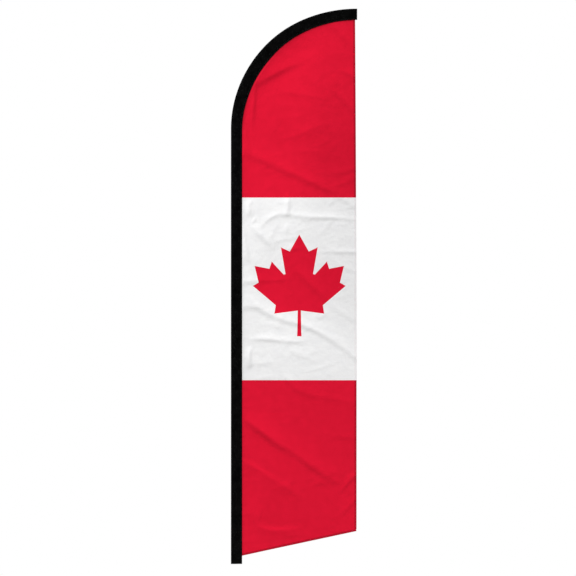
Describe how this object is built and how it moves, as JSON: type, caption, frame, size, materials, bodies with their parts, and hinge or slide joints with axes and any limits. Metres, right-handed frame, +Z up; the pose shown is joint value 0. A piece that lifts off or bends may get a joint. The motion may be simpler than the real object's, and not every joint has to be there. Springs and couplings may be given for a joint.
{
  "type": "feather flag with pole",
  "caption": "Tall feather flag: a red, white and red cloth with a maple leaf on a black sleeve over a push-fit pole that bows over at the top.",
  "frame": {"origin": "centre of the pole's foot, where the spindle of a base goes in", "axes": "+Z up the pole, +X from the pole towards the flag's free edge, Y across the cloth"},
  "size_m": [0.796, 0.032, 3.505],
  "materials": {
    "aluminium_tube": "drawn, mill finish",
    "aluminium_turned": "turned",
    "plated_steel": "zinc plated, satin",
    "brass": "drawn, satin",
    "moulded_plastic": "moulded, fine matt",
    "glass_fibre": "pultruded glass fibre, satin",
    "black_cloth": "woven polyester, matt",
    "black_webbing": "woven webbing, matt",
    "printed_cloth": "knitted polyester, printed red and white"
  },
  "bodies": {
    "lower_pole": {"foot_bush": "moulded_plastic", "lower_tube": "aluminium_tube"},
    "connector": {"lower_connector": "aluminium_turned"},
    "middle_pole": {"middle_tube": "aluminium_tube"},
    "upper_pole": {"upper_tube": "aluminium_tube", "upper_stop_ring": "plated_steel", "stop_ring_rivet": "plated_steel"},
    "rod_pole": {"rod_plug": "moulded_plastic", "rod_plug_pin": "plated_steel", "lower_rod": "glass_fibre"},
    "flag": {"rod_ferrule": "brass", "tip_rod": "glass_fibre", "tip_cap": "moulded_plastic", "tip_pocket": "black_webbing", "pole_sleeve": "black_cloth", "hold_down_strap": "black_webbing", "flag_panel": "printed_cloth", "fly_hem": "printed_cloth", "bottom_hem": "printed_cloth"}
  },
  "joints": [
    {"name": "flag_turn", "type": "hinge", "parent": "lower_pole", "child": "connector", "pos_m": [0, 0, 0.8033], "axis": [0, 0, 1], "continuous": true},
    {"name": "middle_tube_pull", "type": "slide", "parent": "connector", "child": "middle_pole", "axis": [0, 0, 1], "range_m": [0, 0.1]},
    {"name": "upper_tube_pull", "type": "slide", "parent": "middle_pole", "child": "upper_pole", "axis": [0, 0, 1], "range_m": [0, 0.1]},
    {"name": "rod_plug_pull", "type": "slide", "parent": "upper_pole", "child": "rod_pole", "axis": [0, 0, 1], "range_m": [0, 0.104]},
    {"name": "flag_pull", "type": "slide", "parent": "rod_pole", "child": "flag", "axis": [0, 0, 1], "range_m": [0, 0.1]}
  ]
}
